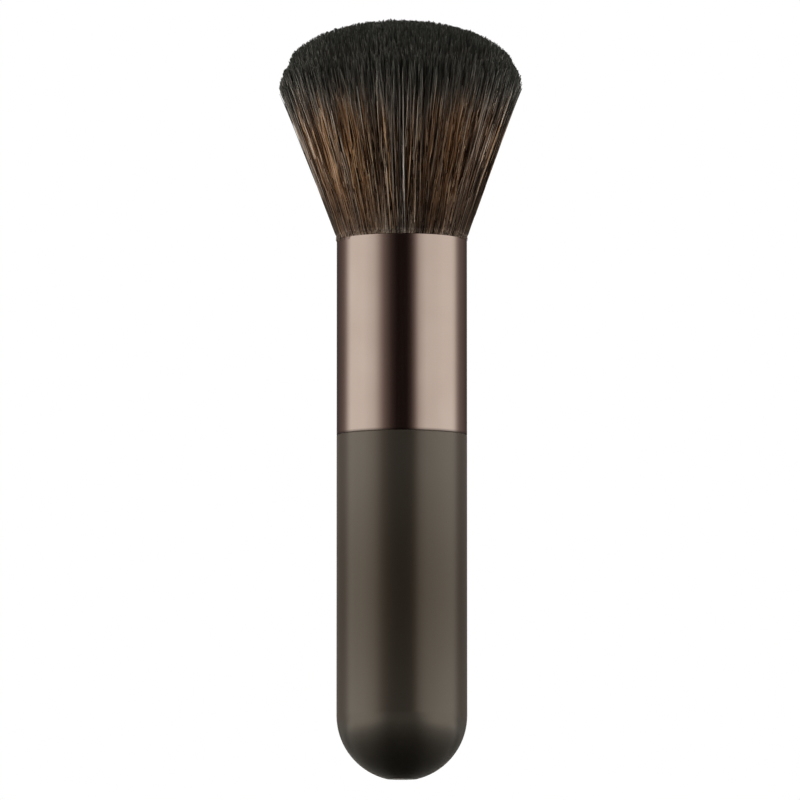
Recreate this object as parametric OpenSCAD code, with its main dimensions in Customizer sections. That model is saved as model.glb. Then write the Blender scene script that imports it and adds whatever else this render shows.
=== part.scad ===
// Chunky face brush: a hollow moulded handle with a round butt, a plain metal
// ferrule of the same width, and a dense bristle head cut to a dome.
// The axis of the brush is Z. The origin is the middle of the flat at the butt.

/* [Handle] */
// Outside diameter of the handle, which the ferrule matches
handle_d = 24; // [18:0.5:30]
// Length of the handle that shows, from its butt to the ferrule
handle_len = 63.2; // [48:0.2:90]
// Wall of the moulded handle
handle_wall = 2.6; // [1.8:0.1:3.4]
// Diameter of the flat at the butt
butt_flat_d = 5.6; // [3:0.2:9]
// Length of the neck that goes up inside the ferrule
neck_len = 14; // [10:0.5:20]
// Bevel round the shoulder that the ferrule meets
shoulder_bevel = 0.1; // [0.1:0.05:0.5]
// Bevel round the top of the neck
neck_bevel = 0.6; // [0.3:0.1:0.8]
// Number of ribs that the counterweight stands on
rib_count = 4; // [3:1:8]
// Thickness of each rib
rib_t = 1.4; // [0.8:0.1:2.4]

/* [Neck glue] */
// Number of glue grooves round the neck
groove_count = 3; // [1:1:4]
// Width of one groove
groove_w = 1.6; // [0.8:0.1:2]
// Depth of one groove
groove_depth = 0.5; // [0.2:0.05:0.8]
// Bond line between the neck and the ferrule
bond_gap = 0.1; // [0.05:0.01:0.2]

/* [Counterweight] */
// Height of the steel slug
weight_h = 14; // [8:1:24]
// Radial play of the slug in the handle
weight_play = 0.3; // [0.1:0.05:0.6]
// Bevel on the slug's edges
weight_bevel = 0.8; // [0.4:0.1:1.6]
// Height of the bead of hot melt that holds the slug
bead_h = 1.8; // [1:0.1:3]
// Width of that bead where it lies on the slug
bead_w = 2.4; // [1.2:0.1:4]

/* [Stopper] */
// Thickness of the flange that closes the neck
stopper_flange_t = 1.5; // [1:0.1:2.5]
// How far the flange's edge stays inside the bevel of the neck
stopper_inset = 0.3; // [0.1:0.05:0.6]
// Length of the spigot inside the neck
stopper_spigot_len = 6; // [3:0.5:9]
// Wall of the spigot
stopper_wall = 1.2; // [0.8:0.1:2]
// Radial play of the spigot in the neck
stopper_play = 0.05; // [0.02:0.01:0.15]

/* [Ferrule] */
// Length of the ferrule
ferrule_len = 36.2; // [30:0.2:56]
// Wall of the ferrule
ferrule_wall = 0.5; // [0.35:0.05:0.8]
// Bevel on the ferrule's edges
ferrule_bevel = 0.1; // [0.05:0.05:0.2]

/* [Roots] */
// Thickness of the epoxy between the stopper and the bound roots
epoxy_t = 4; // [2:0.5:6]
// Thickness of the slice of bound roots that the strands grow out of
slice_t = 1.5; // [1:0.1:2.5]
// Thickness of the elastic band round the roots
band_t = 0.6; // [0.4:0.1:0.9]
// Width of that band
band_w = 2; // [1:0.5:3]
// Distance from the slice to the band
band_lift = 0.8; // [0.4:0.1:1.5]
// Play of the band round the strands and in the ferrule
band_play = 0.15; // [0.05:0.05:0.2]

/* [Bristles] */
// Number of strands, each one standing for a lock of fibres
strand_count = 450; // [300:10:500]
// Widest diameter of the head, at the rim of its dome
head_d = 44.4; // [34:0.2:52]
// Height from the ferrule's mouth to the rim of the dome
flare_h = 28.5; // [20:0.5:40]
// Height of the dome above its rim
dome_h = 11.8; // [4:0.2:18]
// Play of the strands in the ferrule's mouth
mouth_play = 0.15; // [0.05:0.05:0.4]
// How much shorter than the dome the shortest strand is cut
tip_unevenness = 0.3; // [0:0.05:0.6]
// Radius of a strand as a share of the room that it has
strand_share = 0.54; // [0.3:0.01:0.55]
// Power of the dome's outline, where 2 is an ellipse and more is squarer
dome_power = 2.15; // [1.8:0.05:2.6]

/* [Hidden] */

$fn = 64;
overrun = 0.5;          // how far a cut runs past the solid that it cuts
sink = 0.4;             // how far a rib or a strand is let into what carries it

// Handle, from the butt upwards
handle_r = handle_d / 2;
butt_z = sqrt(pow(handle_r, 2) - pow(butt_flat_d / 2, 2));   // centre of the round butt
cavity_r = handle_r - handle_wall;
neck_top = handle_len + neck_len;

// Ferrule, and the neck inside it
bore_r = handle_r - ferrule_wall;
neck_r = bore_r - bond_gap;
mouth_z = handle_len + ferrule_len;
groove_pitch = neck_len / (groove_count + 1);

// Counterweight, which stands on the ribs at the centre of the round butt
weight_r = cavity_r - weight_play;
weight_top = butt_z + weight_h;

// Stopper on the neck, with epoxy over it and the slice of roots on the epoxy
flange_r = neck_r - neck_bevel - stopper_inset;
flange_top = neck_top + stopper_flange_t;
spigot_r = cavity_r - stopper_play;
spigot_z = neck_top - stopper_spigot_len;
spigot_lead = stopper_wall / 2;                              // bevel that leads it in
slice_z = flange_top + epoxy_t;
slice_top = slice_z + slice_t;

// Band round the strands, which are narrowest inside it
band_z = slice_top + band_lift;
band_top = band_z + band_w;
waist_r = bore_r - band_t - 2 * band_play;

// Head
mouth_r = bore_r - mouth_play;
head_r = head_d / 2;
rim_z = mouth_z + flare_h;

// The strands lie on a sunflower spiral, which gives each one the same room
STRAND_SIDES = 3;
STRAND_RINGS = 3;
STRAND_POINTS = STRAND_SIDES * STRAND_RINGS;
golden_angle = 180 * (3 - sqrt(5));
room_share = sqrt(PI / strand_count);           // room of one strand in a bundle of radius 1
rim_share = 1 - strand_share * room_share;      // keeps the outermost strands inside the bundle
cut_seed = 7;
cut_shares = rands(0, 1, strand_count, cut_seed);

// Radius of the bundle inside the ferrule at height z
function bundle_r(z) = waist_r + (mouth_r - waist_r) * (z - band_top) / (mouth_z - band_top);

// Height of the dome at radius r
function dome_z(r) = rim_z + dome_h * pow(max(0, 1 - pow(min(1, r / head_r), dome_power)), 1 / dome_power);

// Outline of strand i in a bundle of radius r, with one corner facing outwards
function strand_outline(i, r) =
    let (turn = i * golden_angle,
         out = r * rim_share * sqrt((i + 0.5) / strand_count),
         wide = r * strand_share * room_share)
    [for (k = [0 : STRAND_SIDES - 1])
        let (a = turn + k * 360 / STRAND_SIDES)
        [out * cos(turn) + wide * cos(a), out * sin(turn) + wide * sin(a)]];

// That outline as a level ring at height z
function level_ring(i, r, z) = [for (p = strand_outline(i, r)) [p.x, p.y, z]];

// The ring at the tip, where the strand is cut to the dome or a little shorter
function tip_ring(i) =
    [for (p = strand_outline(i, head_r)) [p.x, p.y, dome_z(norm(p)) - cut_shares[i] * tip_unevenness]];

// Rings of strand i, from inside the slice to the mouth and the tip
function strand_points(i) = concat(
    level_ring(i, bundle_r(slice_top - sink), slice_top - sink),
    level_ring(i, mouth_r, mouth_z),
    tip_ring(i));

// Triangles of one strand whose points start at index first
function strand_faces(first) = concat(
    [[first, first + 1, first + 2]],
    [for (row = [0 : STRAND_RINGS - 2], k = [0 : STRAND_SIDES - 1])
        let (low = first + row * STRAND_SIDES, next = (k + 1) % STRAND_SIDES)
        each [[low + k, low + STRAND_SIDES + k, low + next],
              [low + next, low + STRAND_SIDES + k, low + STRAND_SIDES + next]]],
    [let (tip = first + (STRAND_RINGS - 1) * STRAND_SIDES) [tip + 2, tip + 1, tip]]);

// Lower edge of glue groove i
function groove_z(i) = handle_len + i * groove_pitch - groove_w / 2;

// A tube of height h that stands at height z
module tube(inner, outer, z, h) {
    difference() {
        translate([0, 0, z]) cylinder(r = outer, h = h);
        translate([0, 0, z - overrun]) cylinder(r = inner, h = h + 2 * overrun);
    }
}

// A round bar between two heights, bevelled at its lower and upper edges
module bevelled_bar(r, low, high, low_bevel, high_bevel) {
    rotate_extrude()
        polygon([
            [0, low],
            [r - low_bevel, low],
            [r, low + low_bevel],
            [r, high - high_bevel],
            [r - high_bevel, high],
            [0, high],
        ]);
}

// Outside of the handle: round butt with its flat, straight grip, shoulder
module handle_outside() {
    difference() {
        union() {
            translate([0, 0, butt_z]) sphere(r = handle_r);
            bevelled_bar(handle_r, butt_z, handle_len, 0, shoulder_bevel);
        }
        translate([0, 0, -handle_r]) cylinder(r = handle_r, h = handle_r);
    }
}

// Inside of the handle, open at the top of the neck
module handle_cavity() {
    translate([0, 0, butt_z]) {
        sphere(r = cavity_r);
        cylinder(r = cavity_r, h = neck_top - butt_z + overrun);
    }
}

// Ribs that rise from the round end of the cavity to the counterweight
module weight_ribs() {
    intersection() {
        translate([0, 0, butt_z]) sphere(r = cavity_r + sink);
        union() {
            for (i = [0 : rib_count - 1])
                rotate([0, 0, i * 360 / rib_count])
                    translate([0, -rib_t / 2, 0]) cube([handle_r, rib_t, butt_z]);
        }
    }
}

// Handle with its grooved neck, hollow above the ribs
module handle_shell() {
    color([0.30, 0.27, 0.24]) {
        difference() {
            union() {
                handle_outside();
                bevelled_bar(neck_r, butt_z, neck_top, 0, neck_bevel);
            }
            handle_cavity();
            for (i = [1 : groove_count])
                tube(neck_r - groove_depth, neck_r + bond_gap, groove_z(i), groove_w);
        }
        weight_ribs();
    }
}

// Steel slug that makes the brush sit low in the hand
module counterweight() {
    color([0.62, 0.63, 0.65])
        bevelled_bar(weight_r, butt_z, weight_top, weight_bevel, weight_bevel);
}

// Bead of hot melt in the corner between the slug and the handle
module weight_adhesive() {
    color([0.85, 0.80, 0.62])
        rotate_extrude()
            polygon([
                [weight_r - weight_bevel - bead_w, weight_top],
                [cavity_r, weight_top],
                [cavity_r, weight_top + bead_h],
            ]);
}

// Moulded cap that closes the neck, so that the epoxy stays above it
module neck_stopper() {
    color([0.80, 0.80, 0.78])
        rotate_extrude()
            polygon([
                [0, flange_top],
                [flange_r, flange_top],
                [flange_r, neck_top],
                [spigot_r, neck_top],
                [spigot_r, spigot_z + spigot_lead],
                [spigot_r - spigot_lead, spigot_z],
                [spigot_r - stopper_wall, spigot_z],
                [spigot_r - stopper_wall, neck_top],
                [0, neck_top],
            ]);
}

// Rings of glue that fill the grooves out to the ferrule
module neck_adhesive() {
    color([0.90, 0.88, 0.80])
        for (i = [1 : groove_count])
            tube(neck_r - groove_depth, bore_r, groove_z(i), groove_w);
}

// Drawn tube with its four edges eased
module ferrule() {
    color([0.52, 0.42, 0.38])
        rotate_extrude()
            polygon([
                [bore_r + ferrule_bevel, handle_len],
                [handle_r - ferrule_bevel, handle_len],
                [handle_r, handle_len + ferrule_bevel],
                [handle_r, mouth_z - ferrule_bevel],
                [handle_r - ferrule_bevel, mouth_z],
                [bore_r + ferrule_bevel, mouth_z],
                [bore_r, mouth_z - ferrule_bevel],
                [bore_r, handle_len + ferrule_bevel],
            ]);
}

// Cured epoxy that has run down round the stopper's flange onto the neck
module epoxy_plug() {
    color([0.78, 0.70, 0.45])
        rotate_extrude()
            polygon([
                [0, flange_top],
                [flange_r, flange_top],
                [flange_r, neck_top],
                [neck_r - neck_bevel, neck_top],
                [neck_r, neck_top - neck_bevel],
                [bore_r, neck_top - neck_bevel],
                [bore_r, slice_z],
                [0, slice_z],
            ]);
}

// Elastic band that gathers the strands above their roots
module root_band() {
    color([0.15, 0.15, 0.15])
        tube(waist_r + band_play, bore_r - band_play, band_z, band_w);
}

// The strands, and the slice of bound roots that they grow out of
module bristle_tuft() {
    color([0.20, 0.15, 0.12])
        union() {
            translate([0, 0, slice_z]) cylinder(r = bore_r, h = slice_t);
            polyhedron(
                points = [for (i = [0 : strand_count - 1]) each strand_points(i)],
                faces = [for (i = [0 : strand_count - 1]) each strand_faces(i * STRAND_POINTS)]);
        }
}

handle_shell();
counterweight();
weight_adhesive();
neck_stopper();
neck_adhesive();
ferrule();
epoxy_plug();
root_band();
bristle_tuft();
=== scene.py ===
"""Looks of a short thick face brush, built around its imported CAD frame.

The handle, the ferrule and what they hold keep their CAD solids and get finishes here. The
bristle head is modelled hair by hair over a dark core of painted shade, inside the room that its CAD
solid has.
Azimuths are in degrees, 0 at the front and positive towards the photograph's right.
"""
import math
from types import SimpleNamespace

import bpy
import numpy as np
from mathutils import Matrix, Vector, kdtree


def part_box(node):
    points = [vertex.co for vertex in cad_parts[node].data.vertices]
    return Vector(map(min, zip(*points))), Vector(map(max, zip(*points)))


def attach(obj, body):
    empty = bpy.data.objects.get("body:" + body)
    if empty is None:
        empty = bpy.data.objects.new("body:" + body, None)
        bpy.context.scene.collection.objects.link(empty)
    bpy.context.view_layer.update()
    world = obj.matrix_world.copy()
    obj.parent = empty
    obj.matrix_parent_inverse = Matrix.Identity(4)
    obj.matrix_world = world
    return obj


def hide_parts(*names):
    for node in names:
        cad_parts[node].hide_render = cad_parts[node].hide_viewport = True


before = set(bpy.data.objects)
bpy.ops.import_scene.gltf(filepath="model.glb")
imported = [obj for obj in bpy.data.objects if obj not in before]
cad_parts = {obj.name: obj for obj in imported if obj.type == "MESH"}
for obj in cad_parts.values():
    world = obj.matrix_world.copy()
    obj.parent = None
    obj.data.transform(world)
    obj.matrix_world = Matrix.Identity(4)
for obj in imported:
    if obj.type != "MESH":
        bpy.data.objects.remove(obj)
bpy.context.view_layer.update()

BODY = "root"
MM = 0.001
SEED = 20

# The brush, as the frame gives it
ferrule_low, ferrule_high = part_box("ferrule")
tuft_low, tuft_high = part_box("bristle_tuft")
HANDLE_R = ferrule_high.x
JOINT_Z = ferrule_low.z
MOUTH_Z = ferrule_high.z
TOP_Z = tuft_high.z

# Bristle head
HEAD_SPREAD = 1.018                  # its tips lie out a little beyond the CAD strands
HEAD_R = HEAD_SPREAD * max(-tuft_low.x, tuft_high.x)
BORE_R = HANDLE_R - 0.5 * MM
CUT_TOP_Z = TOP_Z + 0.2 * MM         # the longest tips stand a little above the CAD dome
DOME_H = 12.3 * MM                   # height of the dome above its rim
DOME_POWER = 2.2                     # 2 would be an ellipse
RIM_Z = CUT_TOP_Z - DOME_H
ROOT_DEPTH = 3.0 * MM                # how far the hairs start below the ferrule's mouth
ROOT_Z = MOUTH_Z - ROOT_DEPTH
BULGE_H = 0.9 * MM                   # the hairs swell over the mouth within this height
BULGE_Z = MOUTH_Z + BULGE_H
BULGE_R = BORE_R + 0.6 * MM
THROAT = [                           # height and radius of the bristles about the mouth
    (ROOT_Z, BORE_R - 0.25 * MM),
    (MOUTH_Z - 0.3 * MM, BORE_R - 0.1 * MM),
    (MOUTH_Z + 0.3 * BULGE_H, BULGE_R - 0.25 * MM),
    (BULGE_Z, BULGE_R),
]


def add_object(name, data):
    """A new object in the scene."""
    thing = bpy.data.objects.new(name, data)
    bpy.context.scene.collection.objects.link(thing)
    return thing


# Photograph and camera

PHOTO_PX = 800
HANDLE_PX = 130.4                    # width of the handle
AXIS_PX = 401.85                     # column of the brush's axis
JOINT_PX = 435.7                     # row of the joint at the handle's sides
CAMERA_DISTANCE = 1.66
CAMERA_ELEVATION = math.radians(-5.5)
CAMERA_CLIP = 0.05
SENSOR = 36.0


def add_camera():
    """Camera a little below the brush, looking up at it, with the photograph's framing."""
    px = 2 * HANDLE_R / HANDLE_PX
    centre_z = JOINT_Z + (JOINT_PX - PHOTO_PX / 2) * px / math.cos(CAMERA_ELEVATION)
    target = Vector(((PHOTO_PX / 2 - AXIS_PX) * px, 0, centre_z))
    back = Vector((0, -math.cos(CAMERA_ELEVATION), math.sin(CAMERA_ELEVATION)))
    data = bpy.data.cameras.new("camera")
    data.sensor_width = SENSOR
    data.lens = SENSOR * CAMERA_DISTANCE / (PHOTO_PX * px)
    data.clip_start = CAMERA_CLIP
    camera = add_object("camera", data)
    camera.location = target + back * CAMERA_DISTANCE
    camera.rotation_euler = (-back).to_track_quat("-Z", "Y").to_euler()
    bpy.context.scene.camera = camera


# Node helpers


def link(tree, source, target):
    tree.links.new(source, target)


def new_material(name, kind="ShaderNodeBsdfPrincipled"):
    """A material with its node tree, and the one shader in it."""
    material = bpy.data.materials.new(name)
    material.use_nodes = True
    tree = material.node_tree
    tree.nodes.clear()
    out = tree.nodes.new("ShaderNodeOutputMaterial")
    shader = tree.nodes.new(kind)
    link(tree, shader.outputs[0], out.inputs["Surface"])
    return material, tree, shader


def object_place(tree):
    """The object's own coordinates, and the same split into X, Y and Z."""
    coords = tree.nodes.new("ShaderNodeTexCoord")
    split = tree.nodes.new("ShaderNodeSeparateXYZ")
    link(tree, coords.outputs["Object"], split.inputs["Vector"])
    return coords.outputs["Object"], split.outputs


def noise(tree, scale, detail=2.0, vector=None):
    """Factor of a noise texture, on the object's own coordinates unless a vector is given."""
    node = tree.nodes.new("ShaderNodeTexNoise")
    node.inputs["Scale"].default_value = scale
    node.inputs["Detail"].default_value = detail
    if vector is None:
        vector = tree.nodes.new("ShaderNodeTexCoord").outputs["Object"]
    link(tree, vector, node.inputs["Vector"])
    return node.outputs["Fac"]


def stretched(tree, scale):
    """The object's coordinates, scaled unevenly."""
    coords = tree.nodes.new("ShaderNodeTexCoord")
    mapping = tree.nodes.new("ShaderNodeMapping")
    mapping.inputs["Scale"].default_value = scale
    link(tree, coords.outputs["Object"], mapping.inputs["Vector"])
    return mapping.outputs["Vector"]


def remap(tree, value, low, high, to_low, to_high, smooth=False):
    """value carried from one range to another, and held at its ends."""
    node = tree.nodes.new("ShaderNodeMapRange")
    node.interpolation_type = "SMOOTHSTEP" if smooth else "LINEAR"
    node.inputs["From Min"].default_value = low
    node.inputs["From Max"].default_value = high
    node.inputs["To Min"].default_value = to_low
    node.inputs["To Max"].default_value = to_high
    link(tree, value, node.inputs["Value"])
    return node.outputs["Result"]


def math_node(tree, operation, a, b):
    """Result of a math operation; a and b are sockets or numbers."""
    node = tree.nodes.new("ShaderNodeMath")
    node.operation = operation
    for socket, value in zip(node.inputs, (a, b)):
        if isinstance(value, (int, float)):
            socket.default_value = value
        else:
            link(tree, value, socket)
    return node.outputs[0]


def mix_colour(tree, factor, a, b, blend="MIX"):
    """Colour b by the factor, and a for the rest; both are sockets or linear colours."""
    factor_in, a_in, b_in, result_out = 0, 6, 7, 2      # places of the node's colour sockets
    node = tree.nodes.new("ShaderNodeMix")
    node.data_type = "RGBA"
    node.blend_type = blend
    if isinstance(factor, (int, float)):
        node.inputs[factor_in].default_value = factor
    else:
        link(tree, factor, node.inputs[factor_in])
    for socket, value in ((node.inputs[a_in], a), (node.inputs[b_in], b)):
        if isinstance(value, tuple):
            socket.default_value = (*value, 1)
        else:
            link(tree, value, socket)
    return node.outputs[result_out]


def ramp(tree, value, stops):
    """A colour ramp; stops are (place, linear colour)."""
    node = tree.nodes.new("ShaderNodeValToRGB")
    elements = node.color_ramp.elements
    while len(elements) < len(stops):
        elements.new(0.5)
    for element, (place, colour) in zip(elements, stops):
        element.position = place
        element.color = (*colour, 1)
    link(tree, value, node.inputs["Fac"])
    return node.outputs["Color"]


def mix_shaders(tree, factor, a, b):
    """Shader b by the factor, and a for the rest."""
    node = tree.nodes.new("ShaderNodeMixShader")
    link(tree, factor, node.inputs["Fac"])
    link(tree, a, node.inputs[1])
    link(tree, b, node.inputs[2])
    return node.outputs[0]


def linear(r, g, b):
    """Linear colour of an sRGB colour written from 0 to 255."""
    def one(c):
        c /= 255
        return c / 12.92 if c <= 0.04045 else ((c + 0.055) / 1.055) ** 2.4
    return (one(r), one(g), one(b))


# Finishes of the rigid pieces

NOISE_SPAN = (0.3, 0.7)              # where most of a noise texture lies
MOTTLE_SPAN = (0.35, 0.65)           # the same, narrower for clearer spots

# Painted shade along the brush: two heights, and the share of the tone kept at each of them
FERRULE_EDGE_SHADE = (JOINT_Z + 0.05 * MM, JOINT_Z + 0.62 * MM, 0.42, 1)
HANDLE_BUTT_SHADE = (5 * MM, 10.5 * MM, 0.6, 1)

HANDLE_MIDDLE_Z = 0.54 * JOINT_Z     # the painted shade is darkest here
HANDLE_MIDDLE_REACH = 0.44 * JOINT_Z
HANDLE_MIDDLE_SHADE = (0.70, 0.665, 0.60)


def ferrule_metal():
    """Polished bronze anodised aluminium, with faint marks of the drawing along it.

    Its lower edge, which is rolled in on the real one, is darker: painted shade that stands in for the
    dark that the roll shows.
    """
    material, tree, shader = new_material("bronze_anodised")
    drawn = noise(tree, 1.0, 3.0, stretched(tree, (2600, 2600, 45)))
    cloud = remap(tree, noise(tree, 90.0, 2.0), *NOISE_SPAN, 0, 1)
    tint = mix_colour(tree, cloud, linear(189, 170, 157), linear(195, 177, 164))
    _, place = object_place(tree)
    # Painted shade: darker within a little over half a millimetre of the joint
    edge = remap(tree, place["Z"], *FERRULE_EDGE_SHADE, smooth=True)
    link(tree, mix_colour(tree, 1.0, tint, edge, "MULTIPLY"), shader.inputs["Base Color"])
    shader.inputs["Metallic"].default_value = 1.0
    link(tree, remap(tree, drawn, *NOISE_SPAN, 0.12, 0.15), shader.inputs["Roughness"])
    return material


def handle_paint():
    """Satin taupe soft-touch paint with a very fine grain, with painted shade half-way up and at the
    butt.
    """
    material, tree, shader = new_material("satin_taupe")
    grain = noise(tree, 3000.0, 2.0)
    cloud = remap(tree, noise(tree, 60.0, 3.0), *NOISE_SPAN, 0, 1)
    tint = mix_colour(tree, cloud, linear(101, 93, 82), linear(104, 96, 85))
    _, place = object_place(tree)
    # Painted shade: the tone is darker half-way up and towards the butt
    from_middle = math_node(tree, "SUBTRACT", place["Z"], HANDLE_MIDDLE_Z)
    from_middle = math_node(tree, "ABSOLUTE", from_middle, 0)
    ends = remap(tree, from_middle, 0, HANDLE_MIDDLE_REACH, 0, 1, smooth=True)
    shade = mix_colour(tree, ends, HANDLE_MIDDLE_SHADE, (1, 1, 1))
    butt = remap(tree, place["Z"], *HANDLE_BUTT_SHADE, smooth=True)
    shade = mix_colour(tree, 1.0, shade, butt, "MULTIPLY")
    toned = mix_colour(tree, 1.0, tint, shade, "MULTIPLY")
    link(tree, toned, shader.inputs["Base Color"])
    shader.inputs["Metallic"].default_value = 0.6
    link(tree, remap(tree, grain, *NOISE_SPAN, 0.17, 0.19), shader.inputs["Roughness"])
    shader.inputs["Sheen Weight"].default_value = 0.45
    shader.inputs["Sheen Roughness"].default_value = 0.35
    shader.inputs["Sheen Tint"].default_value = (0.72, 0.67, 0.56, 1)
    return material


def plain_finish(name, low, high, roughness, metallic=0.0, scale=400.0):
    """Finish of a piece that lies inside: two close tones and a little unevenness."""
    material, tree, shader = new_material(name)
    uneven = 0.05
    mottle = remap(tree, noise(tree, scale, 3.0), *MOTTLE_SPAN, 0, 1)
    rough = remap(tree, mottle, 0, 1, roughness - uneven, roughness + uneven)
    link(tree, mix_colour(tree, mottle, linear(*low), linear(*high)), shader.inputs["Base Color"])
    link(tree, rough, shader.inputs["Roughness"])
    shader.inputs["Metallic"].default_value = metallic
    return material


def finish_rigid_pieces():
    """Gives each CAD solid its finish."""
    finishes = {
        "handle_shell": handle_paint(),
        "ferrule": ferrule_metal(),
        "counterweight": plain_finish("turned_steel", (150, 151, 154), (172, 173, 176), 0.35, 1.0),
        "weight_adhesive": plain_finish("hot_melt", (214, 200, 158), (226, 214, 176), 0.4),
        "neck_stopper": plain_finish("stopper_plastic", (196, 196, 192), (210, 210, 206), 0.5),
        "neck_adhesive": plain_finish("cured_glue", (222, 216, 196), (236, 230, 212), 0.35),
        "epoxy_plug": plain_finish("cured_epoxy", (186, 166, 108), (206, 186, 124), 0.25),
        "root_band": plain_finish("elastic", (34, 34, 34), (46, 46, 46), 0.7),
    }
    for node, material in finishes.items():
        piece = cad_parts[node]
        piece.data.materials.clear()
        piece.data.materials.append(material)


# Bristles

# Paths of the hairs
HAIR_D = 0.19 * MM
HAIR_D_RANGE = (0.7, 1.3)            # shares of it that single hairs have
ROOT_WIDTH = 1.2                     # share of its thickness that a hair has at the mouth
BLUNT = 0.6                          # and at its cut tip
TAPER_LEN = 2.0 * MM                 # length over which it gets there
TAPER_POWER = 0.8
SKIN = 0.985                         # hairs reach this share of the radius or a little more
SPLAY = 0.06                         # radians by which a hair's tip strays round the head
SPLAY_POWER = 1.5
DIVE = 0.034                         # share of the radius by which it strays in and out
DIVE_MIN = 0.02                      # and least share of the radius where a root lies
BOB = 0.018                          # share of the radius by which it waves in and out
WAVE = 0.15 * MM                     # and sideways
WAVE_PACE = (5.0, 20.0)              # radians that the waves run through from mouth to tip
STILL_POWER = 8                      # how late the waves come to rest before the tip
WAVE_AT_MOUTH = 0.6                  # share of the sideways wave that a hair has there
WAVE_AT_TIP = 0.3
AXIS_R = 1 * MM                      # nearer to the axis a wave turns a hair no further
NECK_Z = MOUTH_Z - 0.1 * MM          # heights of the second and the third ring of an outer hair
FOOT_Z = MOUTH_Z + 1.2 * MM
START_UNEVEN = 0.25                  # share by which the starts of inner hairs differ
GOLDEN = 0.618034

# Tips
TUFT_COUNT = 1600                    # small tufts that the tips gather into
TUFT_JITTER = 0.3                    # how unevenly they are placed
TUFT_PULL = 0.55                     # share of the way by which tips are drawn to a tuft's middle
TUFT_PULL_POWER = 5                  # how near the tip that happens
TUFT_CROWN = 1.2 / MM                # drop of a tip, for the square of its distance from that middle
TUFT_CROWN_MAX = 0.4 * MM
TUFT_UNEVEN = 0.1 * MM               # how much the heights of tufts differ
TIP_UNEVEN = 0.03 * MM               # and of tips within one
WORN = 0.45 * MM                     # how much lower the tips are near the rim
WORN_SHARE = 0.94                    # share of the radius where that is
WORN_HALF = 0.035                    # and within which it fades
WORN_LEFT = 0.7 * MM                 # how much lower still they are on the photograph's left
WORN_LEFT_HALF = 45                  # degrees within which that fades
HEAD_LEAN = -0.3 * MM                # the cut head stands this far to one side
LONG_SHARE = 0.42                    # share of the hairs that reach the dome
SHORTFALL = 2.2 * MM                 # mean by which the others end below it
SHORTFALL_MAX = 6 * MM

# Partings at the rim: azimuth, half width, share of the radius where it runs, how far the tips
# outside it lean out, and how much shorter they are
PARTINGS = [(-91, 20, 0.972, 0.3 * MM, 0.9 * MM), (88, 16, 0.98, 0.2 * MM, 0.4 * MM)]
PARTING_STEEP = 4                    # how suddenly a parting begins and ends round the head
PARTING_IN = 0.8                     # share of the lean by which the tips inside it lean in
PARTING_DEPTH = 0.06                 # share of the radius to which those go
PARTING_POWER = 14                   # how near the tip a hair begins to lean

# Black tips
DYED_LEN = 0.2 * MM                  # black length below the tip
DYED_UNEVEN = 0.9 * MM               # how much it differs
DYED_MIN = -0.6 * MM
DYED_TOP_Z = RIM_Z + 5.5 * MM        # hairs that end higher measure it from here
FADE_LEN = 8 * MM                    # over which the black gives way to the colour
FADE_RANGE = (0.6, 1.4)
ORANGE_FROM = 0.42                   # shares of the fade after which orange begins
ORANGE_WITHIN = 0.9                  # and within which it is full
DIP_POWER = 1.25                     # how late the colour gives way to black

# Tone, which is 1 for a light hair, and TONE_TOP for the lightest
TONE_TOP = 1.15
PLAIN_SHAPE = (0.38, 0.58)           # of the beta distribution of plain tones
PLAIN_MEAN = 0.4                     # mean that these are brought to, round the head
PLAIN_GAIN = 1.16                    # then they are stretched and lifted by this
PLAIN_LEAST = 0.01
EVEN_ANGLE = 2.0                     # degrees round the head within which mean tones are alike
EVEN_BINS = 1440                     # steps round the head
EVEN_ROUNDS = 3                      # how often they are evened
EVEN_SHARE = 0.6                     # and share of the way each time
EVEN_SKIN = 0.02                     # share of the radius within which hairs count as seen from outside
EVEN_WITHIN = 0.01                   # weight of the others
RAYS = [(420, 0.05), (1000, 0.06)]   # count of thin rays round the head that share a tone, spread
RAYS_ASIDE = 2.2                     # how much stronger they are at the sides
EVEN_TONE = 0.48                     # tones are drawn towards this one at the tips
EVEN_LEN = 13 * MM                   # and less and less over this length
EVEN_CONTRAST = 0.32                 # share of their difference that they keep at the tips
EVEN_POWER = 0.8
LOW_POWER = 6                        # how closely the next two keep to the mouth
LOW_GREY = 0.38                      # share of the orange that is missing there
LOW_CONTRAST = 0.2                   # and how much more the tones differ there
PAINTED_GLINTS = 0.24                        # painted highlights: how much a hair's tone comes and goes along it
SHADE = 0.32                         # painted shade: share of their tone that hairs keep deep in the tuft
SHADE_DEPTH = 0.022                  # share of the radius within which it falls
MOUTH_SHADE = 0.3                    # painted shade: share of their tone that hairs lose towards the mouth
MOUTH_RISE = 2.4                     # how soon they have it back above
FOOT_PAINTED_LIGHT = 0.75                    # painted highlight: share that they gain at the very mouth, below FOOT_Z
RIM_PAINTED_LIGHT = 0.19                      # painted light: lighter tone of the hairs about the rim
RIM_LIGHT_Z = RIM_Z - 1.5 * MM        # middle and half width of that zone
RIM_REACH = 5.2 * MM
RIM_LEFT = 0.95                      # share of it that is missing on the photograph's left
RIM_RIGHT = 0.4                      # and right
SIDE_PAINTED_SHADE = 0.4                       # painted shade: darker tone of the side hairs near the mouth
SIDE_SHADE_BAND = (0.16, 0.12)             # middle and half width of a band of painted shade over the mouth
SIDE_BAND_SHADE = 0.3                  # and how much darker it is

# Hue, from 0 for grey brown to 1 for orange
HUE_SHAPE = (0.6, 1.0)               # of the beta distribution of hues
HUE_GAIN = 0.64
HUE_UNEVEN = 0.12                    # how much the hues of tufts differ

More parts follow.
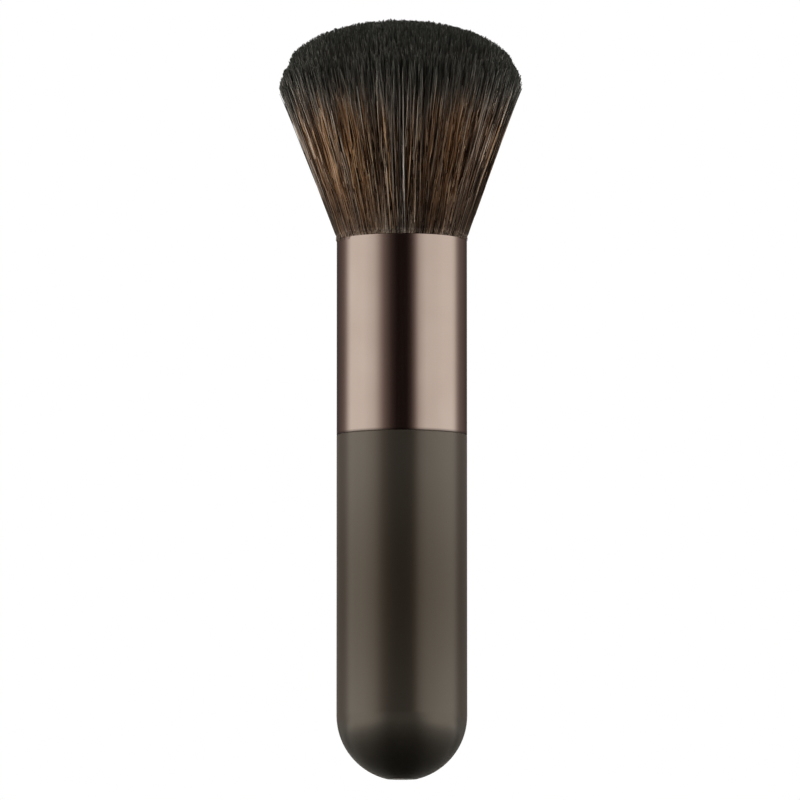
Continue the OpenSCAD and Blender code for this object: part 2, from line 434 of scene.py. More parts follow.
# Locks with a warmer and lighter tone: azimuth, half width, both in degrees, and strength
WARM_LOCKS = [
    (-67, 11, 0.45), (-49, 10, 0.8), (-29, 8, 1.1), (-19, 5, 0.6), (-10, 3, 0.7), (-3, 3, 0.2),
    (8.5, 4, 0.4), (18, 5, 0.6), (28, 5, 0.8), (38, 8, 0.7), (53, 9, 0.4), (67, 6, 0.2),
    (96, 6, 0.5), (128, 12, 0.5), (158, 5, 0.8), (-170, 9, 0.3), (-143, 10, 0.6), (-112, 5, 0.7),
]
WARM_SKIN = 0.8                      # share of the radius outside which they are at full strength
WARM_INSIDE = 0.4                    # and share of it that they have further in
WARM_GAIN = 0.62                     # what a warm lock does to the tone: share, and plain sum
WARM_SUM = 0.1
WARM_HUE = 0.64                      # what it does to the hue
WARM_DYED = 1.2 * MM                 # and how much less of its tips is black
PLAIN_TOP = 0.94                     # highest tone outside the warm locks, and more inside them
WARM_TOP = 0.21

# Locks with a paler tone, between the rim and the mouth: the same
PALE_LOCKS = [(-24, 9, 0.24), (2, 16, 0.06), (27, 9, 0.12), (44, 9, 0.07)]
PALE_DEPTH = (0.2, 0.3)              # depth where they begin, and within which they are full
PALE_ABOVE = 0.25                    # share of the height over the mouth within which they fade

# Loose fibres at the mouth: azimuth, half width, how far they hang over the metal in mm, and
# the share of all of them
WISP_COUNT = 340
WISP_D = 0.11 * MM
WISP_D_RANGE = (0.7, 1.2)
WISP_TAPER = 0.4
WISP_RINGS = 7
WISP_START = (0.7 * MM, 2.2 * MM)    # how high over the mouth they begin
WISP_END = 0.1 * MM                  # and end, before they hang down
WISP_DEPTH = 0.25 * MM               # how far inside the hairs they begin
WISP_CLEAR = (0.05 * MM, 0.13 * MM)  # how far off the metal they stay
WISP_LEAN = 0.35 * MM
WISP_CURL = 0.1 * MM
WISP_CURL_TURN = 4                   # radians that the curl runs through
WISP_TONE = (0.1, 0.6)
WISP_HUE = (0.0, 0.5)
WISPS = [(-70, 18, 0.75, 0.12), (68, 16, 0.4, 0.1), (0, 60, 0.12, 0.4), (180, 92, 0.4, 0.38)]

# Hair meshes. Hairs of the outer pieces are whole, and those of the inner ones are only tips.
HAIR_SIDES = 3
CAP_FLAT = 0.02                      # height of the caps' slivers on the texture map
TINY = 1e-9
OUTER_PIECES = 7
OUTER_COUNT, OUTER_RINGS = 1900, 18
INNER_COUNT, INNER_RINGS = 9500, 4

# Shares of the radius between which a piece's tips lie. Outer pieces take them in turn, and
# inner ones have a third value, the share of their height at which the hairs begin.
OUTER_SHARES = [(0.93, 1.0), (0.87, 0.98)]
INNER_SHARES = [(0.66, 0.9, 0.66), (0.4, 0.7, 0.8), (0.0, 0.45, 0.84)]

# Core: how far it lies inside the hairs at the mouth, at the rim and under the dome
CORE_INSET, CORE_RIM_INSET, CORE_DOME_INSET = 2.2 * MM, 4.4 * MM, 5.5 * MM
CORE_SIDES = 96
CORE_DOME_RINGS = 14


def bell(values, middle, half):
    """1 at the middle, and 1/e of that at half to either side."""
    return np.exp(-((values - middle) / half) ** 2)


def locks(azimuth, places):
    """Strength of the given locks at each azimuth."""
    return sum(strength * bell(azimuth, middle, half) for middle, half, strength in places)


def dome_z(r):
    """Height of the dome at radius r."""
    share = np.clip(r / HEAD_R, 0, 1)
    return RIM_Z + DOME_H * (1 - share ** DOME_POWER) ** (1 / DOME_POWER)


def throat_r(z):
    """Radius of the bristles where they come out of the ferrule and swell over its edge."""
    heights, radii = zip(*THROAT)
    return np.interp(z, heights, radii)


def nearest(places, centres):
    """Index of the centre nearest to each place in the plane."""
    tree = kdtree.KDTree(len(centres))
    for k, (x, y) in enumerate(centres):
        tree.insert((x, y, 0), k)
    tree.balance()
    return np.array([tree.find((x, y, 0))[1] for x, y in places])


def spiral(rng, count, jitter):
    """Places spread evenly over a disc of radius 1."""
    k = np.arange(count)
    r = np.sqrt((k + 0.5) / count)
    a = k * math.pi * (3 - math.sqrt(5))
    places = np.stack([r * np.cos(a), r * np.sin(a)], 1)
    return places + rng.normal(0, jitter / math.sqrt(count), places.shape)


def local_mean(angles, values, weights):
    """Weighted mean of the values of the hairs near each hair, round the head."""
    steps = np.arange(EVEN_BINS)
    place = ((angles / (2 * np.pi)) % 1 * EVEN_BINS).astype(int) % EVEN_BINS
    away = np.minimum(steps, EVEN_BINS - steps) * 360 / EVEN_BINS
    window = np.fft.rfft(bell(away, 0, EVEN_ANGLE))

    def blurred(amounts):
        sums = np.bincount(place, amounts, EVEN_BINS)
        return np.fft.irfft(np.fft.rfft(sums) * window, EVEN_BINS)

    return (blurred(weights * values) / np.maximum(blurred(weights), TINY))[place]


def place_hairs(rng, count, inner, outer):
    """Where count hairs begin and end, with tips between two shares of the head's radius."""
    tip_share = np.sqrt(rng.uniform(inner ** 2, outer ** 2, count))
    root_share = np.maximum(tip_share + rng.normal(0, DIVE, count), DIVE_MIN)
    turn = (np.arange(count) + rng.random(count)) * 2 * np.pi / count
    tip_turn = turn + rng.normal(0, SPLAY, count)
    tips = tip_share[:, None] * np.stack([np.cos(tip_turn), np.sin(tip_turn)], 1)
    azimuth = np.degrees(np.arctan2(tips[:, 0], -tips[:, 1]))

    # Tips gather into small round tufts
    centres = spiral(rng, TUFT_COUNT, TUFT_JITTER)
    tuft = nearest(tips, centres)
    shift = centres[tuft] - tips
    crown = TUFT_CROWN * (np.linalg.norm(shift, axis=1) * HEAD_R) ** 2
    uneven = rng.normal(0, TUFT_UNEVEN, TUFT_COUNT)[tuft] + rng.normal(0, TIP_UNEVEN, count)

    # They are cut to the dome, which most of them don't reach
    short = np.minimum(rng.exponential(SHORTFALL, count), SHORTFALL_MAX)
    short = short * (rng.random(count) > LONG_SHARE)
    worn = WORN + WORN_LEFT * bell(azimuth, -90, WORN_LEFT_HALF)
    cut_z = dome_z(tip_share * HEAD_R) - worn * bell(tip_share, WORN_SHARE, WORN_HALF)
    cut_z += uneven - np.minimum(crown, TUFT_CROWN_MAX)
    tip_z = cut_z - short

    # At the partings they lean apart
    lean = np.zeros(count)
    parted = np.zeros(count)
    for middle, half, split, out, shorter in PARTINGS:
        close = np.clip(PARTING_STEEP * (1 - np.abs(azimuth - middle) / half), 0, 1)
        outside = tip_share > split
        near = tip_share > split - PARTING_DEPTH
        lean += np.where(outside, out, -PARTING_IN * out) * close * near
        tip_z -= np.where(outside, shorter, 0) * close
        parted = np.maximum(parted, close)

    return SimpleNamespace(
        count=count, root_share=root_share, tip_share=tip_share, turn=turn, tip_turn=tip_turn,
        azimuth=azimuth, tuft=tuft, shift=shift, cut_z=cut_z, tip_z=tip_z, lean=lean,
        parted=parted,
    )


def ring_heights(hairs, rings, start):
    """Heights of the rings of the hairs' meshes."""
    later = np.arange(hairs.count) * GOLDEN % 1
    begin = start * (1 - START_UNEVEN + START_UNEVEN * later)[:, None]
    rise = begin + (1 - begin) * np.linspace(0, 1, rings)[None, :]
    z = ROOT_Z + (hairs.tip_z - ROOT_Z)[:, None] * rise
    if start == 0:
        z[:, 1] = NECK_Z
        z[:, 2:] = FOOT_Z + (hairs.tip_z - FOOT_Z)[:, None] * np.linspace(0, 1, rings - 2)
    return z


def hair_paths(rng, hairs, z):
    """Points of the hairs at the given heights.

    Adds to hairs what their widths and looks follow: above, which is 0 at the mouth and 1 at
    the dome, their share of the radius, and their waves.
    """
    count = hairs.count
    tip_share, root_share = hairs.tip_share[:, None], hairs.root_share[:, None]
    turn, tip_turn = hairs.turn[:, None], hairs.tip_turn[:, None]

    above = np.clip((z - BULGE_Z) / (hairs.cut_z[:, None] - BULGE_Z), 0, 1)
    phase = rng.uniform(0, 2 * np.pi, (count, 2))
    pace = rng.uniform(*WAVE_PACE, (count, 2))
    waves = np.sin(pace[:, :, None] * above[:, None, :] + phase[:, :, None])
    still = 1 - above ** STILL_POWER

    share = root_share + (tip_share - root_share) * above
    share = share + rng.normal(0, BOB, count)[:, None] * waves[:, 0] * still
    share = np.minimum(share, SKIN + (1 - SKIN) * rng.random(count)[:, None])
    spread = np.where(above > 0, BULGE_R + (HEAD_R - BULGE_R) * above, throat_r(z))
    r = share * spread + hairs.lean[:, None] * above ** PARTING_POWER

    side = rng.normal(0, WAVE, count)[:, None] * waves[:, 1]
    side = side * (WAVE_AT_MOUTH + (1 - WAVE_AT_MOUTH) * above)
    side = side * (WAVE_AT_TIP + (1 - WAVE_AT_TIP) * still)
    drift = 1 - (1 - above) ** SPLAY_POWER
    angle = turn + (tip_turn - turn) * drift + side / np.maximum(r, AXIS_R)
    points = np.stack([r * np.cos(angle), r * np.sin(angle), z], 2)
    pull = TUFT_PULL * (1 - hairs.parted)[:, None, None] * HEAD_R * hairs.shift[:, None, :]
    points[:, :, :2] += pull * above[:, :, None] ** TUFT_PULL_POWER
    points[:, :, 0] += HEAD_LEAN * above

    hairs.above, hairs.share, hairs.waves = above, share, waves[:, 0]
    return points


def hair_widths(rng, hairs, z):
    """Widths of the hairs at the given heights."""
    left = hairs.tip_z[:, None] - z
    taper = BLUNT + (1 - BLUNT) * np.clip(left / TAPER_LEN, 0, 1) ** TAPER_POWER
    width = HAIR_D * rng.uniform(*HAIR_D_RANGE, hairs.count)[:, None]
    return width * (ROOT_WIDTH + (1 - ROOT_WIDTH) * hairs.above) * taper


def plain_tones(rng, hairs):
    """A tone for each hair, with alike means all round the head."""
    plain = rng.beta(*PLAIN_SHAPE, hairs.count)
    seen = np.exp(-(1 - hairs.tip_share) / EVEN_SKIN) + EVEN_WITHIN
    for _ in range(EVEN_ROUNDS):
        for angles in (hairs.turn, hairs.tip_turn):
            plain -= EVEN_SHARE * (local_mean(angles, plain, seen) - PLAIN_MEAN)
    return plain


def ray_tones(hairs, aside):
    """What thin rays, which are the same in all pieces, add to the tones."""
    fixed = np.random.default_rng(SEED)
    ray = np.zeros(hairs.count)
    for rays, spread in RAYS:
        tones = fixed.normal(0, spread, rays)
        ray += tones[((hairs.azimuth + 180) / 360 * rays).astype(int) % rays]
    return ray * (1 + RAYS_ASIDE * aside ** 2)


def hair_looks(rng, hairs, z):
    """Tone, hue and dip of the hairs at the given heights; dip is 1 where the dye is black."""
    above, count = hairs.above, hairs.count
    aside = np.sin(np.radians(hairs.azimuth))
    warm = locks(hairs.azimuth, WARM_LOCKS)
    warm = warm * (WARM_INSIDE + (1 - WARM_INSIDE) * (hairs.tip_share > WARM_SKIN))
    pale = locks(hairs.azimuth, PALE_LOCKS)[:, None]

    # One value for each hair
    tone = plain_tones(rng, hairs) * PLAIN_GAIN + PLAIN_LEAST + ray_tones(hairs, aside)
    tone = tone * (1 + WARM_GAIN * warm) + WARM_SUM * warm
    tone = np.minimum(tone, PLAIN_TOP + WARM_TOP * warm)
    tone = np.clip(tone, 0, TONE_TOP)[:, None]
    hue = rng.beta(*HUE_SHAPE, count) * HUE_GAIN
    hue = hue + rng.normal(0, HUE_UNEVEN, TUFT_COUNT)[hairs.tuft] + WARM_HUE * warm
    hue = np.clip(hue, 0, 1)[:, None]
    dyed = rng.normal(DYED_LEN, DYED_UNEVEN, count) - WARM_DYED * warm
    dyed = np.maximum(dyed, DYED_MIN)[:, None]
    fade = FADE_LEN * rng.uniform(*FADE_RANGE, count)[:, None]

    # The same along the hair: black tips, then orange and grey brown down to the mouth
    low = (1 - above) ** LOW_POWER
    below = np.minimum(hairs.cut_z, DYED_TOP_Z)[:, None] - z
    faded = (below - dyed) / fade
    dip = np.clip(1 - faded, 0, 1)
    hue = hue * np.clip((faded - ORANGE_FROM) / ORANGE_WITHIN, 0, 1)
    hue = hue * (1 - LOW_GREY * low)

    # Contrast between the hairs, paler locks, and painted light and shade: glints along the hairs,
    # light about the rim, shade at the sides
    depth = np.clip((hairs.cut_z[:, None] - z) / EVEN_LEN, 0, 1)
    contrast = EVEN_CONTRAST + (1 - EVEN_CONTRAST) * depth ** EVEN_POWER + LOW_CONTRAST * low
    evened = np.clip(EVEN_TONE + (tone - EVEN_TONE) * contrast, 0, TONE_TOP)
    pale_from, pale_within = PALE_DEPTH
    pale = pale * np.clip((depth - pale_from) / pale_within, 0, 1)
    evened = evened * (1 + pale * np.clip(above / PALE_ABOVE, 0, 1))
    evened = evened * (1 + PAINTED_GLINTS * hairs.waves)
    # Painted light about the rim, weaker at the sides
    rim_light = RIM_PAINTED_LIGHT * (1 - np.where(aside < 0, RIM_LEFT, RIM_RIGHT) * aside ** 2)
    evened = evened + rim_light[:, None] * bell(z, RIM_LIGHT_Z, RIM_REACH)
    # Painted shade on the side hairs
    side_shade = SIDE_PAINTED_SHADE * (1 - above) + SIDE_BAND_SHADE * bell(above, *SIDE_SHADE_BAND)
    evened = evened * (1 - side_shade * (aside ** 2)[:, None])

    # Painted shade among the hairs and towards the mouth, and a painted highlight at the very mouth
    deep = SHADE + (1 - SHADE) * np.exp(-(1 - hairs.share) / SHADE_DEPTH)
    foot_light = FOOT_PAINTED_LIGHT * np.clip((FOOT_Z - z) / (FOOT_Z - MOUTH_Z), 0, 1)
    mouth = 1 - MOUTH_SHADE + MOUTH_SHADE * np.minimum(MOUTH_RISE * above, 1) + foot_light
    shade = (1 - depth + depth * deep) * mouth
    # The tone carries the painted light and shade as well as each hair's own tone
    return {"tone": evened * shade / TONE_TOP, "hue": hue, "dip": dip}


def grow(rng, count, inner, outer, rings, start):
    """Paths, radii and looks of hairs whose tips lie between two shares of the head's radius.

    start is the share of its height at which a hair's mesh begins, so that hairs hidden by
    others are only made near their tips.
    """
    hairs = place_hairs(rng, count, inner, outer)
    z = ring_heights(hairs, rings, start)
    points = hair_paths(rng, hairs, z)
    width = hair_widths(rng, hairs, z)
    return points, width / 2, hair_looks(rng, hairs, z)


def grow_wisps(rng):
    """Short loose fibres that come out between the hairs and hang over the ferrule's edge."""
    kinds = rng.choice(len(WISPS), WISP_COUNT, p=[share for _, _, _, share in WISPS])
    middle, half, hang, _ = np.array(WISPS)[kinds].T
    azimuth = np.radians(middle + half * rng.uniform(-1, 1, WISP_COUNT))
    start_z = MOUTH_Z + rng.uniform(*WISP_START, WISP_COUNT)
    end_z = MOUTH_Z - hang * MM * rng.random(WISP_COUNT) + WISP_END
    t = np.linspace(0, 1, WISP_RINGS)[None, :]
    z = start_z[:, None] + (end_z - start_z)[:, None] * t

    free = HANDLE_R + rng.uniform(*WISP_CLEAR, WISP_COUNT)[:, None]
    above = np.clip((z - BULGE_Z) / (RIM_Z - BULGE_Z), 0, 1)
    inside = BULGE_R + (HEAD_R - BULGE_R) * above
    r = inside + np.clip(free - inside, 0, None) * t - WISP_DEPTH * (1 - t) ** 2
    lean = rng.normal(0, WISP_LEAN, WISP_COUNT)[:, None]
    side = lean * t + WISP_CURL * np.sin(WISP_CURL_TURN * t)
    angle = azimuth[:, None] + side / HANDLE_R
    points = np.stack([r * np.sin(angle), -r * np.cos(angle), z], 2)

    width = WISP_D * rng.uniform(*WISP_D_RANGE, WISP_COUNT)[:, None] * (1 - WISP_TAPER * t)
    tone = np.repeat(rng.uniform(*WISP_TONE, WISP_COUNT)[:, None] / TONE_TOP, WISP_RINGS, 1)
    hue = np.repeat(rng.uniform(*WISP_HUE, WISP_COUNT)[:, None], WISP_RINGS, 1)
    return points, width / 2, {"tone": tone, "hue": hue, "dip": np.zeros_like(tone)}


def unit(vectors):
    """The vectors at length 1."""
    return vectors / np.maximum(np.linalg.norm(vectors, axis=2, keepdims=True), TINY)


def hair_vertices(points, radii):
    """Corners of the rings round the given points."""
    along = unit(np.gradient(points, axis=1))
    outward = unit(points * np.array([1, 1, 0]))
    across = unit(np.cross(along, outward))
    up = np.cross(across, along)
    corner = np.arange(HAIR_SIDES) * 2 * np.pi / HAIR_SIDES
    ring = up[:, :, None] * np.cos(corner)[None, None, :, None]
    ring = ring + across[:, :, None] * np.sin(corner)[None, None, :, None]
    return (points[:, :, None] + ring * radii[:, :, None, None]).reshape(-1, 3)


def hair_faces(count, rings):
    """Quads round the hairs, and the triangles that close them."""
    sides = HAIR_SIDES
    first = (np.arange(count) * rings * sides)[:, None, None]
    row = first + (np.arange(rings - 1) * sides)[None, :, None]
    low = row + np.arange(sides)[None, None, :]
    turned = row + ((np.arange(sides) + 1) % sides)[None, None, :]
    quads = np.stack([low, turned, turned + sides, low + sides], 3).reshape(-1, 4)
    base = first[:, 0, 0]
    tip = base + (rings - 1) * sides
    bottoms = np.stack([base + 2, base + 1, base], 1)
    tops = np.stack([tip, tip + 1, tip + 2], 1)
    return quads, np.concatenate([bottoms, tops])


def hair_mesh(name, points, radii, looks):
    """One mesh of three-sided hairs along the given points, closed at both ends."""
    count, rings = points.shape[:2]
    vertices = hair_vertices(points, radii)
    quads, ends = hair_faces(count, rings)
    mesh = bpy.data.meshes.new(name)
    mesh.vertices.add(len(vertices))
    mesh.vertices.foreach_set("co", vertices.astype(np.float32).ravel())
    corners = np.concatenate([quads.ravel(), ends.ravel()]).astype(np.int32)
    sizes = np.concatenate([np.full(len(quads), 4), np.full(len(ends), 3)])
    starts = np.concatenate([[0], np.cumsum(sizes)[:-1]]).astype(np.int32)
    mesh.loops.add(len(corners))
    mesh.loops.foreach_set("vertex_index", corners)
    mesh.polygons.add(len(sizes))
    mesh.polygons.foreach_set("loop_start", starts)
    mesh.polygons.foreach_set("use_smooth", np.ones(len(sizes), bool))
    for title, values in looks.items():
        layer = mesh.attributes.new(title, "FLOAT", "POINT")
        on_corners = np.repeat(values.ravel(), HAIR_SIDES).astype(np.float32)
        layer.data.foreach_set("value", on_corners)
    mesh.update(calc_edges=True)
    lay_out(mesh, count, rings)
    mesh.validate()
    return add_object(name, mesh)


def lay_out(mesh, count, rings):
    """Texture map with a cell of its own for each hair: round the hair across, root to tip up."""
    cells = math.ceil(math.sqrt(count))
    hair = np.arange(count)
    cell_x, cell_y = (hair % cells) / cells, (hair // cells) / cells
    i, row, side = np.meshgrid(hair, np.arange(rings - 1), np.arange(HAIR_SIDES), indexing="ij")
    left, right = side / HAIR_SIDES, (side + 1) / HAIR_SIDES
    low, high = row / (rings - 1), (row + 1) / (rings - 1)
    u = cell_x[i][..., None] + np.stack([left, right, right, left], -1) / cells
    v = cell_y[i][..., None] + np.stack([low, low, high, high], -1) / cells
    quads = np.stack([u, v], -1).reshape(-1, 2)

    # The caps are flat slivers at the lower and the upper edge of the cell
    third = np.array([0.0, 0.5, 1.0]) / cells
    cell_x, cell_y = cell_x[:, None], np.repeat(cell_y[:, None], HAIR_SIDES, 1)
    bottom = np.stack([cell_x + third[::-1], cell_y + third * CAP_FLAT], -1)
    top = np.stack([cell_x + third, cell_y + 1 / cells - third * CAP_FLAT], -1)
    places = np.concatenate([quads, bottom.reshape(-1, 2), top.reshape(-1, 2)])
    layer = mesh.uv_layers.new(name="OFBake")
    layer.uv.foreach_set("vector", places.astype(np.float32).ravel())


def fibre_material():
    """Dyed synthetic fibre: brown in many tones, black for some millimetres below its tip."""
    material, tree, shader = new_material("bristle_fibre")

    def attribute(title):
        node = tree.nodes.new("ShaderNodeAttribute")
        node.attribute_name = title
        return node.outputs["Fac"]

    # The tone attribute holds the hairs' painted light and shade as well as their own tones
    tone = attribute("tone")
    greyish = ramp(tree, tone, [
        (0.0, (0.012, 0.009, 0.006)),
        (0.3 / TONE_TOP, (0.078, 0.062, 0.049)),
        (0.6 / TONE_TOP, (0.270, 0.228, 0.192)),
        (1.0 / TONE_TOP, (0.850, 0.735, 0.625)),
        (1.0, (0.950, 0.860, 0.760)),
    ])
    orange = ramp(tree, tone, [
        (0.0, (0.020, 0.009, 0.003)),
        (0.3 / TONE_TOP, (0.130, 0.058, 0.022)),
        (0.6 / TONE_TOP, (0.400, 0.200, 0.085)),
        (1.0 / TONE_TOP, (0.900, 0.570, 0.310)),
        (1.0, (0.950, 0.680, 0.420)),
    ])
    root = mix_colour(tree, attribute("hue"), greyish, orange)
    tip = ramp(tree, tone, [
        (0.0, (0.0090, 0.0090, 0.0072)),
        (0.6 / TONE_TOP, (0.045, 0.0455, 0.0372)),
        (1.0 / TONE_TOP, (0.180, 0.176, 0.148)),
        (1.0, (0.240, 0.235, 0.198)),
    ])
    bare = math_node(tree, "SUBTRACT", 1, attribute("dip"))
    bare = math_node(tree, "POWER", bare, DIP_POWER)
    link(tree, mix_colour(tree, bare, tip, root), shader.inputs["Base Color"])
    shader.inputs["Roughness"].default_value = 0.55
    shader.inputs["Specular IOR Level"].default_value = 0.08
    return material


def shade_core_material():
    """Painted shade: near black that stands in for the shade in the gaps between the bristles."""
    material, tree, shader = new_material("bristle_painted_shade")
    grain = noise(tree, 1.0, 3.0, stretched(tree, (1800, 1800, 60)))
    streaks = remap(tree, grain, *MOTTLE_SPAN, 0, 1)
    colour = mix_colour(tree, streaks, (0.006, 0.0045, 0.003), (0.020, 0.014, 0.009))
    link(tree, colour, shader.inputs["Base Color"])
    shader.inputs["Roughness"].default_value = 0.9
    shader.inputs["Specular IOR Level"].default_value = 0.1
    return material


def add_core():
    """Dark body of painted shade a little under the hairs, so that no gap shows through."""
    sides = CORE_SIDES
    top_r = HEAD_R - CORE_RIM_INSET
    profile = [(throat_r(ROOT_Z) - CORE_INSET, ROOT_Z), (BULGE_R - CORE_INSET, BULGE_Z)]
    for r in np.linspace(top_r, 0, CORE_DOME_RINGS)[:-1]:
        profile.append((r, dome_z(r * HEAD_R / top_r) - CORE_DOME_INSET))
    turns = np.linspace(0, 2 * math.pi, sides, endpoint=False)
    vertices = [(r * math.cos(a), r * math.sin(a), z) for r, z in profile for a in turns]
    faces = []
    for low in range(0, (len(profile) - 1) * sides, sides):
        high = low + sides
        for k in range(sides):
            n = (k + 1) % sides
            faces.append((low + k, low + n, high + n, high + k))
    last = (len(profile) - 1) * sides
    faces.append(tuple(range(sides))[::-1])
    faces.append(tuple(range(last, last + sides)))
    mesh = bpy.data.meshes.new("bristle_shade_core")
    mesh.from_pydata(vertices, [], faces)
    mesh.polygons.foreach_set("use_smooth", np.ones(len(faces), bool))
    mesh.materials.append(shade_core_material())
    return add_object("bristle_shade_core", mesh)


def add_bristles():
    """The head: its core, hairs that show along their whole length, and the tips within."""
    rng = np.random.default_rng(SEED)
    fibre = fibre_material()
    pieces = [add_core()]
    for k in range(OUTER_PIECES):
        inner, outer = OUTER_SHARES[k % len(OUTER_SHARES)]
        shape = grow(rng, OUTER_COUNT, inner, outer, OUTER_RINGS, 0.0)
        pieces.append(hair_mesh(f"bristles_outer_{k + 1}", *shape))
    for k, (inner, outer, begin) in enumerate(INNER_SHARES):
        shape = grow(rng, INNER_COUNT, inner, outer, INNER_RINGS, begin)
        pieces.append(hair_mesh(f"bristles_inner_{k + 1}", *shape))
    pieces.append(hair_mesh("bristles_wisps", *grow_wisps(rng)))
    for piece in pieces[1:]:
        piece.data.materials.append(fibre)
    for piece in pieces:
        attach(piece, BODY)
        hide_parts("bristle_tuft")


# Studio

FILL_BELOW, FILL_ABOVE = 0.03, 0.6   # strength of the grey light from below and from overhead
FILL_SPAN = (-0.3, 0.9)              # it grows between these sines of the elevation

# Lamps: azimuth and radiance
LAMPS = {"soft_box_left": (-86, 3.6), "soft_box_right": (84, 2.6)}
LAMP_ELEVATION = 6
LAMP_DISTANCE = 1.3
LAMP_WIDTH, LAMP_HEIGHT = 1.5, 1.8

# Cards: azimuth, and shade, where 1 is as bright as the white surroundings
FRONT_CARD = [
    (-72, 1.0), (-62, 0.92), (-50, 0.8), (-45, 0.64), (-38, 0.38), (-31, 0.18), (-20, 0.06),
    (-10, 0.012), (10, 0.012), (17, 0.06), (23, 0.2), (28, 0.5), (33, 0.72), (44, 0.9),
    (64, 0.94), (80, 1.0),
]
BACK_CARD = [
    (98, 1.0), (106, 0.86), (114, 0.44), (122, 0.22), (132, 0.16), (150, 0.085), (210, 0.085),
    (226, 0.14), (236, 0.2), (244, 0.38), (250, 0.7), (258, 1.0),
]
CARD_R = 2.6
CARD_LOW, CARD_HIGH = -3.0, 3.6
CARD_STEP = 4                        # degrees from one edge of its mesh to the next
CARD_WARMTH = (1, 1.12, 1.14)        # powers of the shade for red, green and blue

# Floor. Its gradients: where each begins and ends, and its values there
FLOOR_HALF = 3.0
FLOOR_DROP = 0.1 * MM
FLOOR_GLOW = (9 * MM, 58 * MM, 0.06, 0.95)      # glow that gloss finds, by the distance
FLOOR_ASIDE = (0.3, 0.9, 0.13, 1)               # share of it by the direction, to the sides
FLOOR_BEHIND = (0.1, 0.5, 1, 0.2)               # and to the back
FLOOR_END = (0.35, 1.0, 0, 1)                   # how much of the far floor is plain white


def soft_box(name, azimuth, radiance):
    """A rectangular lamp that faces the middle of the brush."""
    middle = Vector((0, 0, TOP_Z / 2))
    a, e = math.radians(azimuth), math.radians(LAMP_ELEVATION)
    away = Vector((math.sin(a) * math.cos(e), -math.cos(a) * math.cos(e), math.sin(e)))
    data = bpy.data.lights.new(name, "AREA")
    data.shape = "RECTANGLE"
    data.size = LAMP_WIDTH
    data.size_y = LAMP_HEIGHT
    data.energy = radiance * math.pi * LAMP_WIDTH * LAMP_HEIGHT
    lamp = add_object(name, data)
    lamp.location = middle + away * LAMP_DISTANCE
    lamp.rotation_euler = away.to_track_quat("Z", "Y").to_euler()
    lamp.visible_camera = False
    lamp.visible_glossy = False


def card_material(name):
    """Glow in the shades that a card's corners have."""
    material, tree, glow = new_material(name, "ShaderNodeEmission")
    shade = tree.nodes.new("ShaderNodeAttribute")
    shade.attribute_name = "shade"
    link(tree, shade.outputs["Color"], glow.inputs["Color"])
    return material


def add_card(name, stops):
    """A tall card round the set that only gloss shows, with soft edges.

    stops are (azimuth, shade). Half-dark parts are a little warm.
    """
    first, last = stops[0][0], stops[-1][0]
    azimuths = np.linspace(first, last, int((last - first) / CARD_STEP) + 1)
    shades = np.interp(azimuths, *zip(*stops))
    vertices, colours = [], []
    for azimuth, shade in zip(azimuths, shades):
        a = math.radians(azimuth)
        for z in (CARD_LOW, CARD_HIGH):
            vertices.append((CARD_R * math.sin(a), -CARD_R * math.cos(a), z))
            colours.append((*(shade ** power for power in CARD_WARMTH), 1))
    faces = [(2 * k, 2 * k + 1, 2 * k + 3, 2 * k + 2) for k in range(len(azimuths) - 1)]
    mesh = bpy.data.meshes.new(name)
    mesh.from_pydata(vertices, [], faces)
    layer = mesh.color_attributes.new("shade", "FLOAT_COLOR", "POINT")
    layer.data.foreach_set("color", np.array(colours, np.float32).ravel())
    mesh.materials.append(card_material(name))
    card = add_object(name, mesh)
    card.visible_camera = False
    card.visible_diffuse = False
    card.visible_shadow = False
    card.visible_transmission = False


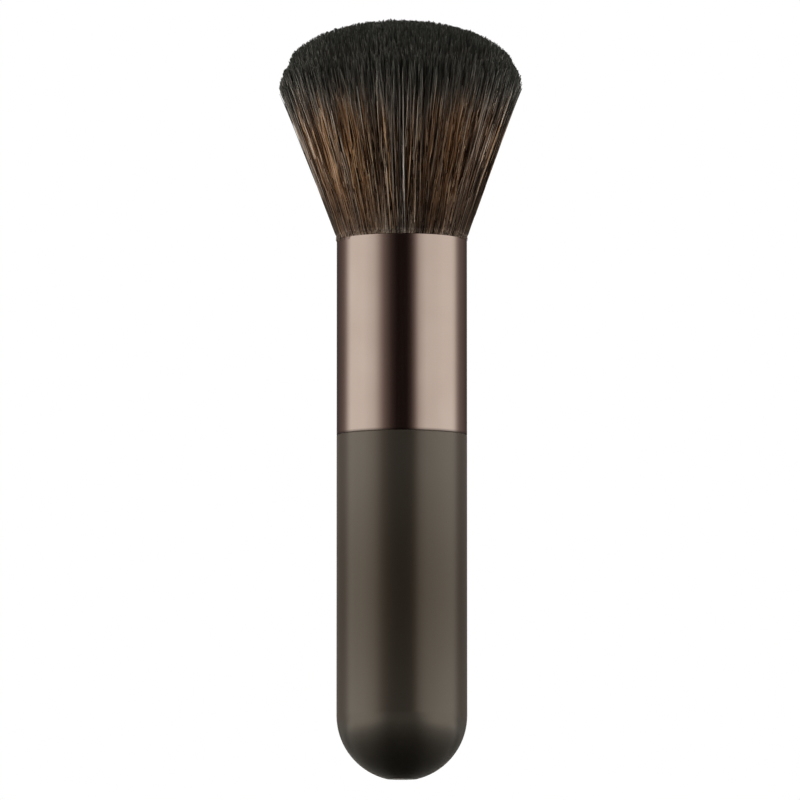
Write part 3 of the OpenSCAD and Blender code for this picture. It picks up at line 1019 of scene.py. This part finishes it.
def floor_material():
    """Pale and matte, and clear from below, where the camera stands.

    Gloss finds it dark next to the butt, as in the photograph, and pale further out. Far away
    it turns into the white surroundings.
    """
    material, tree, shader = new_material("floor")
    shader.inputs["Base Color"].default_value = (0.86, 0.86, 0.85, 1)
    shader.inputs["Roughness"].default_value = 0.8
    shader.inputs["Specular IOR Level"].default_value = 0.0
    whole, place = object_place(tree)
    length = tree.nodes.new("ShaderNodeVectorMath")
    length.operation = "LENGTH"
    link(tree, whole, length.inputs[0])
    reach = length.outputs["Value"]

    aside = math_node(tree, "ABSOLUTE", place["X"], 0)
    aside = math_node(tree, "DIVIDE", aside, reach)
    backward = math_node(tree, "DIVIDE", place["Y"], reach)
    pale = remap(tree, reach, *FLOOR_GLOW)
    pale = math_node(tree, "MULTIPLY", pale, remap(tree, aside, *FLOOR_ASIDE, smooth=True))
    pale = math_node(tree, "MULTIPLY", pale, remap(tree, backward, *FLOOR_BEHIND, smooth=True))
    glow = tree.nodes.new("ShaderNodeEmission")
    link(tree, pale, glow.inputs["Strength"])

    rays = tree.nodes.new("ShaderNodeLightPath").outputs
    side = tree.nodes.new("ShaderNodeNewGeometry").outputs["Backfacing"]
    white = tree.nodes.new("ShaderNodeEmission").outputs[0]
    clear = tree.nodes.new("ShaderNodeBsdfTransparent").outputs[0]
    far = remap(tree, reach, *FLOOR_END, smooth=True)
    far = math_node(tree, "MULTIPLY", far, rays["Is Camera Ray"])
    by_reach = mix_shaders(tree, far, shader.outputs["BSDF"], white)
    by_ray = mix_shaders(tree, rays["Is Glossy Ray"], by_reach, glow.outputs[0])
    by_side = mix_shaders(tree, side, by_ray, clear)
    link(tree, by_side, tree.nodes["Material Output"].inputs["Surface"])
    return material


def add_floor():
    """Floor under the butt."""
    corners = [(x * FLOOR_HALF, y * FLOOR_HALF, 0) for x, y in ((-1, -1), (1, -1), (1, 1), (-1, 1))]
    mesh = bpy.data.meshes.new("floor")
    mesh.from_pydata(corners, [], [(0, 1, 2, 3)])
    mesh.materials.append(floor_material())
    floor = add_object("floor", mesh)
    floor.location.z = -FLOOR_DROP
    floor.visible_diffuse = False


def set_world():
    """Surroundings that are white where the camera, gloss and glass look.

    All other light from them is a soft grey, which is brightest overhead.
    """
    world = bpy.data.worlds.new("studio")
    bpy.context.scene.world = world
    world.use_nodes = True
    tree = world.node_tree
    tree.nodes.clear()
    rays = tree.nodes.new("ShaderNodeLightPath").outputs
    seen = math_node(tree, "MAXIMUM", rays["Is Camera Ray"], rays["Is Glossy Ray"])
    seen = math_node(tree, "MAXIMUM", seen, rays["Is Transmission Ray"])
    coords = tree.nodes.new("ShaderNodeTexCoord")
    split = tree.nodes.new("ShaderNodeSeparateXYZ")
    link(tree, coords.outputs["Generated"], split.inputs["Vector"])
    up = split.outputs["Z"]
    fill = remap(tree, up, *FILL_SPAN, FILL_BELOW, FILL_ABOVE, smooth=True)
    white = tree.nodes.new("ShaderNodeBackground")
    grey = tree.nodes.new("ShaderNodeBackground")
    for background in (white, grey):
        background.inputs["Color"].default_value = (1, 1, 1, 1)
    link(tree, fill, grey.inputs["Strength"])
    mixed = mix_shaders(tree, seen, grey.outputs[0], white.outputs[0])
    out = tree.nodes.new("ShaderNodeOutputWorld")
    link(tree, mixed, out.inputs["Surface"])


def add_studio():
    """Surroundings, lamps, cards and floor."""
    set_world()
    for name, (azimuth, radiance) in LAMPS.items():
        soft_box(name, azimuth, radiance)
    add_card("card_front", FRONT_CARD)
    add_card("card_back", BACK_CARD)
    add_floor()


add_camera()
add_studio()
finish_rigid_pieces()
add_bristles()
bpy.context.scene.view_settings.view_transform = "Standard"
